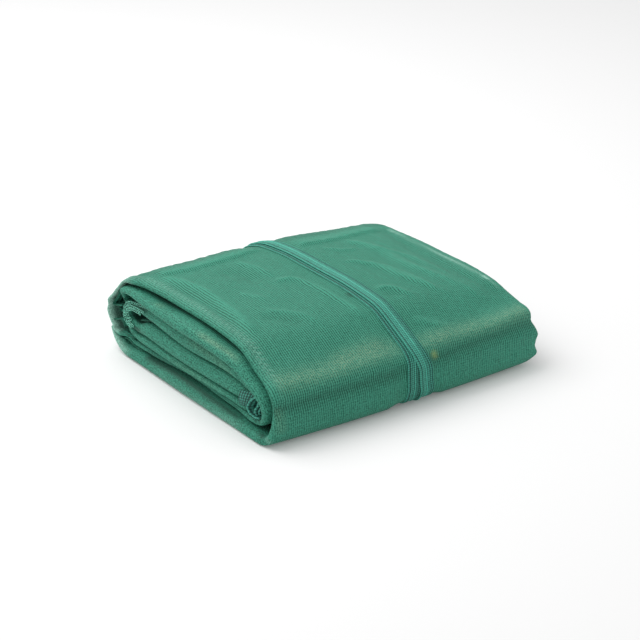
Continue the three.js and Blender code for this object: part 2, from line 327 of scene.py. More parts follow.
# Creases of the outermost pass, in millimetres. Most paths are points picked in the photograph,
# measured on the model and then adjusted. Each row gives the height out of the cloth, the widths on the
# viewer's side and behind, the share of the path over which each end dies away, and the path.
CREASES = {
    "edge ridge": (4.1, 7, 9, 0.12, [(-187, 126, 124), (-170, 47, 127), (-172, -2, 126), (-185, -110, 117)]),
    "edge groove": (-2.3, 7, 7, 0.15,
        [(-200, 100, 124), (-190, 20, 126), (-198, -80, 121), (-205, -150, 98)]),
    "back lap left": (3.5, 4, 26, 0.10,
        [(-187, 134, 124), (-140, 124, 124), (-75, 126, 124), (-8, 135, 122)]),
    "back lap right": (3.8, 4, 22, 0.10, [(34, 110, 124), (94, 108, 120), (150, 117, 113), (200, 124, 109)]),
    "back fold left": (-2.6, 5, 5, 0.3, [(-150, 160, 114), (-90, 158, 114), (-30, 162, 112)]),
    "left short": (2.6, 6, 7, 0.3, [(-78, 112, 125), (-64, 74, 126), (-58, 28, 126)]),
    "left long": (3.4, 4, 7, 0.2, [(-74, 14, 126), (-40, 0, 126), (-29, -90, 121), (-22, -139, 109)]),
    "left low": (2.3, 5, 7, 0.3, [(-150, -50, 125), (-118, -74, 123), (-98, -98, 121), (-90, -125, 115)]),
    "left faint": (1.8, 6, 8, 0.35, [(-134, 14, 126), (-124, -10, 126), (-114, -34, 126)]),
    "left under": (-2.0, 8, 8, 0.35, [(-156, -68, 124), (-128, -92, 121), (-110, -120, 116)]),
    "left hollow": (-2.6, 16, 14, 0.35, [(-120, 96, 125), (-96, 62, 126), (-86, 20, 126)]),
    "right long": (3.6, 7, 9, 0.15, [(112, 104, 118), (139, 40, 116), (137, -30, 116), (180, -152, 90)]),
    "right edge": (-3.0, 12, 9, 0.12, [(203, 133, 108), (189, 30, 111), (188, -60, 109), (209, -148, 88)]),
    "right middle": (3.8, 4, 8, 0.2, [(56, 27, 124), (88, -10, 121), (100, -64, 118), (130, -132, 103)]),
    "right strand": (2.6, 4, 6, 0.3, [(88, 12, 121), (106, -44, 119), (122, -112, 110)]),
    "right arc": (3.4, 4, 7, 0.25, [(33, -82, 121), (53, -84, 121), (66, -98, 118), (73, -120, 113)]),
    "right arc under": (-1.2, 5, 6, 0.3, [(34, -98, 120), (50, -102, 119), (62, -112, 116)]),
    "right low": (2.3, 5, 7, 0.3, [(44, -154, 100), (65, -166, 93), (92, -181, 85)]),
    "right far": (2.0, 5, 7, 0.3, [(120, 60, 118), (160, 10, 115), (164, -60, 112)]),
    "right back": (2.6, 5, 7, 0.3, [(60, 84, 121), (84, 62, 121), (110, 60, 119)]),
    "shoulder left": (1.8, 9, 12, 0.03, [(-222, -190, 78), (-140, -194, 79), (-70, -196, 79), (4, -194, 78)]),
    "shoulder right": (1.8, 9, 12, 0.03, [(26, -195, 78), (97, -191, 77), (160, -189, 73), (232, -182, 71)]),
    "valley left": (-5.0, 10, 6, 0.04, [(-226, -206, 58), (-153, -209, 59), (-80, -211, 60), (2, -210, 60)]),
    "valley right": (-5.0, 10, 6, 0.04, [(28, -209, 63), (86, -207, 65), (150, -203, 65), (232, -193, 62)]),
}
FULL = {                     # where the packet is fuller than its section, laid on in the same way
    "right front corner": (9, 23, 23, 0.4,
        [(300, -172, 69), (242, -180, 70), (190, -189, 72), (120, -193, 74)]),
}

# Colour laid on in the same way, with the strength of the colour in place of a height.
KHAKI_SHEEN = {                    # painted sheen, a lighter yellow-green highlight where light grazes the folded plies
    "shoulder left": (0.75, 12, 18, 0.10,
        [(-214, -187, 82), (-140, -192, 82), (-70, -193, 84), (2, -190, 84)]),
    "shoulder left upper": (0.45, 10, 16, 0.3, [(-120, -184, 91), (-70, -182, 94), (0, -176, 97)]),
    "shoulder right": (0.8, 12, 14, 0.05, [(24, -192, 79), (97, -189, 79), (160, -187, 75), (228, -180, 73)]),
    "front left": (0.35, 9, 9, 0.2, [(-218, -206, 60), (-216, -206, 40), (-214, -204, 20)]),
}
HOLLOW = {                   # painted shade under the fold above, and beside the tie
    "valley left": (0.30, 9, 5, 0.03, [(-228, -206, 56), (-153, -209, 58), (-80, -211, 58), (4, -210, 58)]),
    "beside the tie": (0.9, 3.5, 3.5, 0.3, [(-7, -68, 121), (-7, -77, 121), (-8, -86, 120)]),
    "valley right": (0.34, 9, 5, 0.03, [(24, -209, 61), (86, -207, 63), (150, -203, 63), (234, -193, 60)]),
}
PALE = {                     # few plies, so the light ground shows through
    "top right edge": (0.4, 2.6, 2.6, 0.1, [(214, 127, 107), (209, 61, 110), (211, -7, 109), (215, -73, 106),
                                            (220, -135, 93)]),
    "top right spot": (0.5, 3.5, 3.5, 0.3, [(217, -96, 104), (218, -104, 103), (218, -112, 102)]),
}
LEFT_END = {                 # on the folded edges at the left end: a painted sheen, painted shade in the gaps, and paler marks
    "khaki_sheen": {
        "fourth pass": (0.8, 3, 7, 0.2,
            [(-231, -28, 106), (-230, -52, 105), (-228, -76, 103), (-226, -102, 101), (-227, -129, 94)]),
        "fourth pass back": (0.5, 5, 5, 0.3, [(-224, 90, 109), (-222, 75, 108), (-224, 60, 108)]),
        "second pass": (0.35, 5, 5, 0.3,
            [(-226, 20, 84), (-225, -40, 82), (-226, -90, 78), (-222, -125, 68)]),
        "third pass": (0.3, 4, 4, 0.3, [(-228, 60, 38), (-228, -20, 38), (-227, -100, 38)]),
    },
    "deep": {
        "over the base": (1.0, 6, 6, 0.12, [(-224, 120, 17), (-225, 90, 18), (-226, 40, 20.5), (-227, 0, 22),
                                           (-228, -46, 21.5), (-227, -96, 19.5), (-226, -140, 16)]),
        "front notch": (1.0, 3.5, 3.5, 0.3, [(-224, -168, 16), (-227, -182, 14), (-230, -190, 8)]),
    },
    "pale": {
        "base edge": (0.5, 5, 5, 0.2, [(-226, 110, 8), (-229, 0, 7), (-229, -80, 7), (-229, -150, 6)]),
        "front facet": (0.18, 4, 4, 0.3, [(-229, -192, 18), (-229, -200, 12), (-229, -206, 10)]),
    },
}
STAIN = {
    "small spot": (1.0, 4.5, 4.5, 0.2, [(40, -206, 72), (43, -207, 66), (46, -208, 60)]),
}


PATH_STEPS = 14              # along a path, between two of its points
PATH_REACH = 2.6             # widths away from a path past which it adds nothing


def path_curve(points, count=PATH_STEPS):
    """A smooth line through a few points."""
    p = np.array([points[0], *points, points[-1]], float)
    found = []
    for i in range(len(points) - 1):
        for t in np.arange(count) / count:
            a, b, c, d = p[i:i + 4]
            found.append(0.5 * (2 * b + (c - a) * t + (2 * a - 5 * b + 4 * c - d) * t**2
                                + (3 * b - a - 3 * c + d) * t**3))
    return np.array([*found, p[-1]])


def laid_on(table, points, normals):
    """What the rows of a table, laid along their paths, add up to at each point."""
    lift = np.zeros(len(points))
    for row in table.values():
        height, near, far, fade, path = row
        line = path_curve(path)
        reach = PATH_REACH * max(near, far)
        close = np.where(np.all((points > line.min(0) - reach) & (points < line.max(0) + reach), 1))[0]
        if not len(close):
            continue
        p, n = points[close], normals[close]
        a, d = line[:-1], np.diff(line, axis=0)
        t = np.clip(np.einsum("psk,sk->ps", p[:, None] - a, d) / (d * d).sum(1), 0, 1)
        away = p[:, None] - (a + t[..., None] * d)
        gap = (away**2).sum(2)
        best = gap.argmin(1)
        pick = np.arange(len(p))
        share = (best + t[pick, best]) / len(d)
        side = np.einsum("pk,pk->p", away[pick, best], np.cross(n, d[best]))
        width = np.where(side < 0, near, far)
        ends = smooth(share / fade) * smooth((1 - share) / fade)
        lift[close] += height * np.exp(-gap[pick, best] / width**2) * ends
    return lift


def waves(x, y, sizes, seed):
    """Slow uneven swell from a few crossing sine waves, between about -1 and 1."""
    turn = np.random.default_rng(seed)
    total = 0
    for size in sizes:
        a, phase, ratio = turn.uniform(0, 2 * math.pi), turn.uniform(0, 2 * math.pi), turn.uniform(0.8, 1.2)
        total = total + np.sin(2 * math.pi * (x * math.cos(a) + y * math.sin(a)) / (size * ratio) + phase)
    return total / len(sizes)


def mesh_object(name, points, faces, uvs=None, attributes=None):
    mesh = bpy.data.meshes.new(name)
    mesh.from_pydata(points, [], faces)
    mesh.update()
    if uvs is not None:
        layer = mesh.uv_layers.new(name="cloth")
        index = np.zeros(len(mesh.loops), np.int32)
        mesh.loops.foreach_get("vertex_index", index)
        layer.data.foreach_set("uv", np.asarray(uvs, np.float32)[index].ravel())
    for key, values in (attributes or {}).items():
        values = np.asarray(values, np.float32).ravel()
        mesh.attributes.new(key, "FLOAT", "POINT").data.foreach_set("value", values)
    mesh.polygons.foreach_set("use_smooth", [True] * len(mesh.polygons))
    made = bpy.data.objects.new(name, mesh)
    bpy.context.scene.collection.objects.link(made)
    return made


def ring_faces(rows, cols, start=0, turned=False):
    """The faces of a ring of points carried along in rows, with a face over each end."""
    grid = start + np.arange(rows * cols).reshape(rows, cols)
    beside = np.roll(grid, -1, 1)
    corners = [grid[:-1], grid[1:], beside[1:], beside[:-1]]
    ends = [grid[0], grid[-1][::-1]]
    if turned:
        corners = [grid[:-1], beside[:-1], beside[1:], grid[1:]]
        ends = [grid[0][::-1], grid[-1]]
    return [*np.stack(corners, -1).reshape(-1, 4).tolist(), *(end.tolist() for end in ends)]


GROUND_REACH = 0.6           # base points lower than this lie on the ground
BASE_MARGIN = 4
SWELL = 0.9                  # height of the cloth's slow unevenness, and the lengths of its waves
SWELL_SIZES = (70, 46, 31, 23)
FINE_SWELL = 0.35
FINE_SIZES = (19, 15, 12)
TIE_CLEAR = 16               # from the tie's middle to where the creases begin, and over which they grow
GROOVE_KEPT = 0.3            # share of a groove's depth that stays under the tie
PAINTED_LIGHT_PLAIN = 0.5             # how light plain cloth is painted: ridges get a painted highlight, grooves painted shade
PAINTED_LIGHT_RIGHT = 0.14            # how much more painted light the cloth gets towards the right
PAINTED_SHADE_BACK = 0.4             # how much painted shade darkens it along the back

# How strongly the colours that follow the folds are laid on, 0 to 1, and where, in millimetres from the left
# edge. Among them is painted shade in the pocket, the eye and on cloth covered by other passes.
RIM_PALE = 0.6               # on the thin flange's outer face
RIM_PALE_INNER = 0.85
RIM_PALE_START = 2
RIM_SHADE = 0.85              # painted shade in the pocket behind the flange
RIM_DEEP_START = 8
COVERED_START = 8            # past the rounding of an edge, where painted shade starts on cloth covered by other passes
COVERED_BLEND = 12
EYE_SHADE = 0.85              # painted shade in the eye of the roll
EYE_START = 3
DASH_PALE = 0.26             # the light slanted dashes along the top's left edge
DASH_SPACING = 8.4
DASH_SLANT = 9
DASH_PLACE = 13
DASH_WIDTH = 7
FOOT_PALE = 0.5              # the left edge of the cloth's outer end
FOOT_WIDTH = 7
FUZZ_START = 12              # up to here from an edge the knit gives way to the grain of single threads
FUZZ_BLEND = 16
FUZZ_ON_FACE = 0.7           # how much less of that the outer faces have


def paint_folds(painted, at, x, y, outer, shown, weight):
    """Adds the colours that follow the folds to those laid along paths, painted shade in the pocket, the eye
    and on covered cloth among them, and where the knit is faint.
    """
    run = at["run"]
    inward = x - (-LENGTH / 2 + at["left"])[:, None]
    rim = smooth((run - run_of("rim foot") + 0.4) / 0.4)
    rim = (rim * smooth((run_of("top back slope") + 0.4 - run) / 0.8))[:, None]
    rim_pale = np.where(outer, RIM_PALE, RIM_PALE_INNER)
    painted["pale"] += rim * (1 - smooth((inward - RIM_PALE_START) / (FLANGE_DEEP + 6))) * rim_pale
    # painted shade on cloth covered by other passes, in the eye of the roll and in the pocket behind the
    # flange
    covered = 1 - shown[:, None] * outer
    covered = covered * smooth((inward - at["round"][:, None] - COVERED_START) / COVERED_BLEND)
    eye = smooth((run - run_of("core back") - 0.4) / 0.4)
    eye = (eye * (1 - smooth((run - run_of("second back") + 0.2) / 0.4)))[:, None]
    in_eye = eye * np.where(outer, EYE_SHADE, smooth((inward - EYE_START) / 5))
    in_pocket = rim * ~outer * RIM_SHADE * smooth((inward - RIM_DEEP_START) / 5)
    painted["deep"] = np.maximum.reduce([painted["deep"], covered, in_eye, in_pocket])
    dashed = 0.5 + 0.5 * np.sin(2 * math.pi * (y / DASH_SPACING - inward / DASH_SLANT))
    band = np.exp(-(((inward - DASH_PLACE) / DASH_WIDTH)**2)) * weight
    band = band * smooth((run[:, None] - run_of("top back slope")) / 0.4)
    band *= smooth((run_of("front bulge") - run[:, None]) / 1.2)
    painted["pale"] += DASH_PALE * band * dashed**2
    foot = smooth((run - run_of("base back") - 0.2) / 0.8)[:, None]
    painted["pale"] += foot * np.exp(-(inward / FOOT_WIDTH)**2) * FOOT_PALE
    to_edge = np.minimum(inward, (LENGTH / 2 - at["right"])[:, None] - x)
    painted["fuzz"] = (1 - smooth((to_edge - FUZZ_START) / FUZZ_BLEND)) * (1 - FUZZ_ON_FACE * weight)
    tight = smooth((run - run_of("front shoulder") - 0.6) / 0.8)[:, None]
    painted["tight"] = np.broadcast_to(tight, x.shape)


def cloth_measure(at, x, n):
    """The cloth's own measure at each point, in metres: across the band, and along its outer face."""
    rows, cols = x.shape
    seam = cols - (EDGE_STEPS + len(LEFT_NEAR[::-3]) + INNER_COUNT // 2)
    order = np.roll(np.arange(cols), -seam)
    length = np.hypot(np.diff(x[:, order], axis=1), np.diff(n[:, order], axis=1))
    across = np.zeros((rows, cols))
    across[:, order[1:]] = np.cumsum(length, 1)
    middle = EDGE_STEPS + 1 + len(LEFT_NEAR) + OUTER_COUNT // 2
    across += (x[:, middle] - across[:, middle])[:, None]
    half = at["thick"] / 2
    top = np.stack([at["y"] + at["out_y"] * half, at["z"] + at["out_z"] * half], 1)
    along = np.concatenate([[0], np.cumsum(np.hypot(*np.diff(top, axis=0).T))])
    return np.stack([across, np.broadcast_to(along[:, None], across.shape)], -1).reshape(-1, 2) * MM


def make_net():
    at = stations()
    x, n, outer = band_points(at)
    rows, cols = x.shape
    y = at["y"][:, None] + at["out_y"][:, None] * n
    z = at["z"][:, None] + at["out_z"][:, None] * n
    flat = (z < GROUND_REACH) & (y > BASE_FRONT - BASE_MARGIN) & (y < BASE_BACK)
    z = np.where(flat, 0, np.maximum(z, 0))

    # Outer faces of the outermost pass take the creases, less so beside the tie, which presses them flat.
    run = at["run"]
    shown = smooth((run - run_of("second back turn") + 0.6) / 0.6)
    shown *= smooth((run_of("base front") - run) / 0.8)
    face = np.where(outer, np.clip(n / np.maximum(at["thick"][:, None] / 2, 0.1), 0, 1), 0)
    weight = shown[:, None] * smooth(face * 1.2)
    normal = np.stack(np.broadcast_arrays(0.0, at["out_y"][:, None], at["out_z"][:, None]), -1)
    normal = np.broadcast_to(normal, (rows, cols, 3))
    lift = np.zeros((rows, cols))
    on = weight > 0.001
    base = settled(x, y, z)[on] / MM
    lift[on] = laid_on(CREASES, base, normal[on])
    # painted light: a painted highlight on crease ridges and painted shade in their grooves
    painted_light = PAINTED_LIGHT_PLAIN + np.clip(lift / 4, -0.3, 1) * 0.5
    lift[on] += laid_on(FULL, base, normal[on])
    swell = smooth((base[:, 2] - 4) / 18)
    girth = base[:, 1] + base[:, 2]
    lift[on] += SWELL * swell * waves(1.5 * base[:, 0], 0.6 * girth, SWELL_SIZES, 5)
    lift[on] += FINE_SWELL * swell * waves(base[:, 0], girth, FINE_SIZES, 6)
    under_tie = smooth((np.abs(x - TIE_X) - TIE_CLEAR) / TIE_CLEAR)
    kept = np.where(lift > 0, under_tie, GROOVE_KEPT + (1 - GROOVE_KEPT) * under_tie)
    lift = lift * kept * weight
    y, z = y + normal[..., 1] * lift, np.maximum(z + normal[..., 2] * lift, 0)
    place = settled(x, y, z)

    # the colours laid along paths: a painted sheen, pale cloth, a real stain and painted shade
    painted = {key: np.zeros((rows, cols)) for key in ("khaki_sheen", "pale", "stain", "deep")}
    for key, laid in (("khaki_sheen", KHAKI_SHEEN), ("pale", PALE), ("stain", STAIN), ("deep", HOLLOW)):
        painted[key][on] = laid_on(laid, base, normal[on]) * weight[on]
    near_left = x < -LENGTH / 2 + 40
    for key, laid in LEFT_END.items():
        painted[key][near_left] += laid_on(laid, place[near_left] / MM, normal[near_left])
    paint_folds(painted, at, x, y, outer, shown, weight)
    # more painted light towards the right, and painted shade along the back
    painted["painted_light"] = painted_light + PAINTED_LIGHT_RIGHT * smooth((x - 60) / 140) * weight
    painted["painted_light"] -= PAINTED_SHADE_BACK * smooth((y - 132) / 20) * weight
    painted = {key: np.clip(values, 0, 1) for key, values in painted.items()}
    faces = ring_faces(rows, cols)
    return mesh_object("net_cloth", place.reshape(-1, 3), faces, cloth_measure(at, x, n), painted)


# The tie
TIE_STEP = 3.0
TIE_RIDGES = (-10.6, -6.4, 1.0, 4.5, 8.2, 11.4)     # lengthwise cords knitted into the strip
TIE_LINES = (-8.5, 2.6, 6.3, 10.0)                   # painted shade, the dark lines between them
RIDGE_HEIGHT = 0.95
RIDGE_WIDTH = 0.75
LINE_WIDTH = 0.55
TIE_GROUND = 0.5             # how much thinner than TIE_THICK the strip is between its cords
TIE_ROUND = 0.8              # over which its two edges round off
TIE_SWAY = 0.5               # how far its turns wander sideways, and over what lengths
SWAY_SIZES = (160, 90, 55)
TIE_LOWEST = 0.2             # of its underside over the ground
TIE_ACROSS = 41
LOWER_SHADE = 0.22           # painted shade on the lower turn where it shows at the left of the upper one
EASE = 8                     # width over which the upper turn comes down from the lower one to the net


def tight_outline():
    """The outline of the tie round the packet: from the base's back edge up, over and down the front."""
    at = stations()
    n = at["thick"] / 2 - at["press"]
    points = sorted(zip(at["y"] + at["out_y"] * n, np.maximum(0, at["z"] + at["out_z"] * n)))

    def chain(some):
        kept = []
        for p in some:
            while len(kept) > 1 and ((kept[-1][0] - kept[-2][0]) * (p[1] - kept[-2][1])
                                     - (kept[-1][1] - kept[-2][1]) * (p[0] - kept[-2][0])) < 0.1:
                kept.pop()
            kept.append(p)
        return kept

    loop = chain(points)[:-1] + chain(points[::-1])[:-1]
    first = next(i for i, (y, z) in enumerate(loop) if z < 6 and y > 0)
    return np.array(loop[first:] + loop[:first])


def tie_line():
    """Both turns of the tie as rows of y, z, the way outward and the turn (0 lower, 1 upper), and how far
    along the strip each row lies."""
    loop = tight_outline()
    ahead = np.roll(loop, -1, 0) - loop
    ahead /= np.hypot(*ahead.T)[:, None]
    facing = np.stack([ahead[:, 1], -ahead[:, 0]], 1)
    facing += np.roll(facing, 1, 0)
    facing /= np.hypot(*facing.T)[:, None]
    below = (0.0, -1.0)
    rows = []
    for turn, (start, stop) in enumerate(((TIE_START_Y, TIE_RAMP_Y), (TIE_START_Y - 12, TIE_END_Y))):
        rows.append((start, PRESS_BASE, *below, turn))
        rows += [(*p, *q, turn) for p, q in zip(loop, facing)]
        rows.append((stop, PRESS_BASE, *below, turn))
    rows = np.array(rows)
    gone = np.concatenate([[0], np.cumsum(np.hypot(*np.diff(rows[:, :2], axis=0).T))])
    even = np.linspace(0, gone[-1], round(gone[-1] / TIE_STEP))
    rows = np.stack([np.interp(even, gone, column) for column in rows.T], 1)
    weights = np.array([1, 2, 3, 2, 1]) / 9
    for k in range(5):
        padded = np.concatenate([[rows[0, k]] * 2, rows[:, k], [rows[-1, k]] * 2])
        rows[:, k] = np.convolve(padded, weights, "valid")
    rows[:, 2:4] /= np.hypot(rows[:, 2], rows[:, 3])[:, None]
    return rows, even


def make_tie():
    rows, even = tie_line()
    y, z, out_y, out_z, turn = rows.T
    on_top = np.clip((out_z + 0.2) / 1.1, 0, 1)
    lower_x = TIE_X + LOWER_SHIFT_FRONT + (LOWER_SHIFT_TOP - LOWER_SHIFT_FRONT) * on_top
    spread = np.clip(on_top + smooth((y + 60) / 90), 0, 1)
    upper_x = TIE_X + UPPER_SHIFT_FRONT + (UPPER_SHIFT_TOP - UPPER_SHIFT_FRONT) * spread
    middle = lower_x + (upper_x - lower_x) * turn
    middle = middle + TIE_SWAY * waves(even, 0 * even, SWAY_SIZES, 11)
    half = TIE_WIDTH / 2
    s = np.linspace(-half, half, TIE_ACROSS)
    ridges = sum(np.exp(-((s - c) / RIDGE_WIDTH)**2) for c in TIE_RIDGES)
    edge = np.sqrt(np.clip(1 - ((np.abs(s) - half + TIE_ROUND) / TIE_ROUND).clip(0)**2, 0.04, 1))
    top = (TIE_THICK - TIE_GROUND) * edge + RIDGE_HEIGHT * ridges
    ring_s = np.concatenate([s, s[::-1]])
    ring_h = np.concatenate([top, (TIE_THICK * 0.5 * (1 - edge))[::-1]])
    # painted shade in the lines between the cords, and a painted highlight on the cords
    beside = sum(np.exp(-((s - c) / LINE_WIDTH)**2) for c in TIE_LINES) - 0.35 * ridges
    groove = np.concatenate([beside, np.zeros(TIE_ACROSS)])
    x = middle[:, None] + ring_s
    over = 1 - smooth((x - (lower_x[:, None] + half) + 0.5) / EASE + 0.2)
    lift = TIE_GAP + turn[:, None] * (TIE_GAP + TIE_THICK) * over + 0.1 * turn[:, None]
    h = lift + ring_h
    level = np.maximum(TIE_LOWEST, z[:, None] + out_z[:, None] * h)
    place = settled(x, y[:, None] + out_y[:, None] * h, level)
    uvs = np.stack([np.broadcast_to(ring_s, x.shape), np.broadcast_to(even[:, None], x.shape)], -1)
    shaded = LOWER_SHADE * (1 - turn[:, None]) * (x < upper_x[:, None] - half)
    return mesh_object("tie_cloth", place.reshape(-1, 3), ring_faces(*x.shape, turned=True),
                       uvs.reshape(-1, 2) * MM, {"groove": groove + shaded})


# The plies, hem tape and chain stitches that show at the left end
# edge is where the ply starts in x, deep how far it runs in, thick its thickness, line its y and z.
PLIES = {
    "pocket top": (-226, 30, 1.8,
        [(183, 93), (189, 82), (199, 72), (202, 67), (198, 66), (190, 68), (182, 70)]),
    "pocket upper": (-222, 30, 1.4, [(180, 92), (178, 84), (172, 81), (164, 83)]),
    "pocket bridge": (-226, 34, 1.8, [(207, 41), (199, 43), (192, 45), (182, 49), (175, 47), (170, 42)]),
    "pocket middle": (-219, 26, 1.4, [(196, 60), (189, 57), (184, 60), (178, 70)]),
    "pocket low": (-224, 30, 1.8, [(194, 20), (188, 25), (180, 29), (168, 30), (152, 29)]),
    "eye slit": (-224, 30, 1.2, [(128, 66.5), (116, 69.5), (104, 73.8), (96, 76)]),
    "pocket foot": (-223, 26, 1.6, [(186, 16), (176, 21), (160, 20), (146, 16), (128, 16)]),
}
CURLS = {
    "curl outer": (-228, 40, 3.2,
        [(-170, 65), (-163, 60.5), (-155, 54), (-147.5, 44.5), (-146, 37), (-152, 33), (-161, 31.5),
         (-172, 33.5)]),
    "curl inner": (-227, 36, 2.4, [(-172, 56), (-169, 52), (-165.5, 46), (-162.5, 39), (-165, 35)]),
    "curl leaf": (-225.5, 34, 1.6, [(-174, 51), (-172.5, 47), (-170.5, 43), (-171, 39)]),
}
PLY_STEPS = 9
PLY_WAVE = 0.9               # how far a ply's edge wanders in and out, and over what lengths
PLY_WAVE_SIZES = (17, 9)
PLY_SEED = 40
PLY_COARSE = 2               # how many times as coarse the knit is drawn on the plies, so that it shows
HEM_SHADE = 0.42             # the hem lies in the shade of the folds above it, 0 to 1
CURL_DRIFT = -0.32           # sideways for each millimetre inward, because the rolled hem is a cone


def make_plies(name, table, drift):
    """Each ply as a thin closed strip with a rounded edge, running in from the left end."""
    points, faces, uvs = [], [], []
    for number, (edge, deep, thick, line) in enumerate(table.values()):
        path = path_curve([(0, y, z) for y, z in line], PLY_STEPS)[:, 1:]
        way = np.gradient(path, axis=0)
        way /= np.hypot(*way.T)[:, None]
        side = np.stack([way[:, 1], -way[:, 0]], 1)
        gone = np.concatenate([[0], np.cumsum(np.hypot(*np.diff(path, axis=0).T))])
        ripple = PLY_WAVE * waves(gone, 0 * gone, PLY_WAVE_SIZES, PLY_SEED + number)
        reach = [0, 0.25 * thick, 0.8 * thick, deep * 0.25, deep * 0.6, deep]
        swell = [0.2, 0.42, 0.5, 0.5, 0.5, 0.4]
        ring = [(r, w) for r, w in zip(reach, swell)] + [(r, -w) for r, w in zip(reach[::-1], swell[::-1])]
        start = len(points)
        for (y, z), (sy, sz), g, r in zip(path, side, gone, ripple):
            for inward, w in ring:
                fade = 1 - inward / deep
                points.append(settled(edge + inward + r * fade, y + sy * w * thick + drift * inward,
                                      z + sz * w * thick))
                uvs.append((inward * MM / PLY_COARSE, g * MM / PLY_COARSE))
        faces += ring_faces(len(path), len(ring), start)
    shade = {"groove": np.full(len(points), HEM_SHADE)}
    return mesh_object(name, points, faces, uvs, shade)


# The hem tape's corners in y and z: top left, top right, low left and low right.
TAPE_CORNERS = ((-132, 60), (-163, 67), (-129, 37), (-147, 40))
HEM_PATTERN = 0.017          # metres of knit each way, fewer than the tape's real size, so that it shows
TAPE_EDGE = -230
TAPE_BULGE = 2.2             # how far its middle stands out past its ends
TAPE_ACROSS = 16
TAPE_DOWN = 13
TAPE_THICK = 1.2
TAPE_SAG = 2.5
TAPE_WRAP = 3.5              # how far its far edge wraps back round the fold
TAPE_SHADE = 0.35            # how much more painted shade it gets towards that edge


def make_hem_tape():
    """The hem tape over the net's inner end: a thin sheet that wraps the folded edge."""
    across, down = TAPE_ACROSS, TAPE_DOWN
    top_left, top_right, low_left, low_right = (np.array(c, float) for c in TAPE_CORNERS)
    points, uvs = [], []
    for layer in (0, 1):
        for i in range(across + 1):
            for j in range(down + 1):
                s, t = i / across, j / down
                upper = (1 - s) * top_left + s * top_right
                lower = (1 - s) * low_left + s * low_right
                y, z = (1 - t) * upper + t * lower
                y -= TAPE_SAG * math.sin(math.pi * t) * (s - 0.3)
                x = TAPE_EDGE + TAPE_BULGE * (2 * t - 1)**2 + TAPE_WRAP * s**3 + layer * TAPE_THICK
                points.append(settled(x, y, z))
                uvs.append(((s - 0.5) * HEM_PATTERN, t * HEM_PATTERN))
    size = (across + 1) * (down + 1)
    grid = np.arange(size).reshape(across + 1, down + 1)
    quads = np.stack([grid[:-1, :-1], grid[1:, :-1], grid[1:, 1:], grid[:-1, 1:]], -1).reshape(-1, 4)
    faces = [*quads.tolist(), *(quads[:, ::-1] + size).tolist()]
    rim = [*grid[:, 0], *grid[-1, 1:], *grid[-2::-1, -1], *grid[0, -2:0:-1]]
    faces += [[b, a, a + size, b + size] for a, b in zip(rim, rim[1:] + rim[:1])]
    shade = np.tile(np.repeat(HEM_SHADE + TAPE_SHADE * np.linspace(0, 1, across + 1)**2, down + 1), 2)
    faces = [[int(k) for k in face] for face in faces]
    return mesh_object("hem_tape", points, faces, uvs, {"groove": shade})


LINK_LENGTH = 5.4
LINK_WIDTH = 3.6
LINK_WIRE = 0.8              # half the yarn's thickness
LINK_SPACING = 4.4
LINK_ROUND = 8               # steps round a link, and round its yarn
YARN_ROUND = 4
CHAIN_PROUD = 2.0            # how far the links stand out past the folded edge
CHAIN_STEP = 0.05            # along a row, in sections of the run
# Rows of chain stitch round the eye, each at a share of the band's thickness, from one place in the run to
# another.
CHAINS = ((0.8, "eye bottom", 0.35, "second back", 0.38), (0.0, "eye bottom", 0.2, "second back", -0.25),
          (-0.7, "eye bottom", 0.5, "second back", -0.55))


def chain_link():
    """One stitch: a small oval ring of thick yarn."""
    points, faces = [], []
    for i in range(LINK_ROUND):
        a = 2 * math.pi * i / LINK_ROUND
        for j in range(YARN_ROUND):
            b = 2 * math.pi * j / YARN_ROUND
            out = LINK_WIRE * math.cos(b)
            points.append(((LINK_WIDTH / 2 + out) * math.sin(a) * MM, LINK_WIRE * math.sin(b) * MM,
                           (LINK_LENGTH / 2 + out) * math.cos(a) * MM))
            here, there = i * YARN_ROUND, (i + 1) % LINK_ROUND * YARN_ROUND
            m = (j + 1) % YARN_ROUND
            faces.append((here + j, here + m, there + m, there + j))
    return mesh_object("chain_link", points, faces)


def chain_rows():
    """The chains' paths over the folded edge as a mesh of plain edges."""
    at = {key: values[len(CAP_ANGLES):-len(CAP_ANGLES)] for key, values in stations().items()}
    points, edges = [], []
    for share, first, before, last, after in CHAINS:
        start, stop = run_of(first) + before, run_of(last) + after
        start_at = len(points)
        for run in np.arange(start, stop, CHAIN_STEP):
            y, z, oy, oz, thick, left, rnd = (np.interp(run, at["run"], at[key]) for key in
                                              ("y", "z", "out_y", "out_z", "thick", "left", "round"))
            inward = rnd * (1 - (1 - abs(share)**(1 / FULLNESS * 2))**(FULLNESS / 2))
            n = share * thick / 2
            x = -LENGTH / 2 + left + inward + LEAN * oz * n - CHAIN_PROUD
            points.append(settled(x, y + oy * n, z + oz * n))
        edges += [(k, k + 1) for k in range(start_at, len(points) - 1)]
    mesh = bpy.data.meshes.new("selvedge_chain")
    mesh.from_pydata(points, edges, [])
    chain = bpy.data.objects.new("selvedge_chain", mesh)
    bpy.context.scene.collection.objects.link(chain)
    return chain


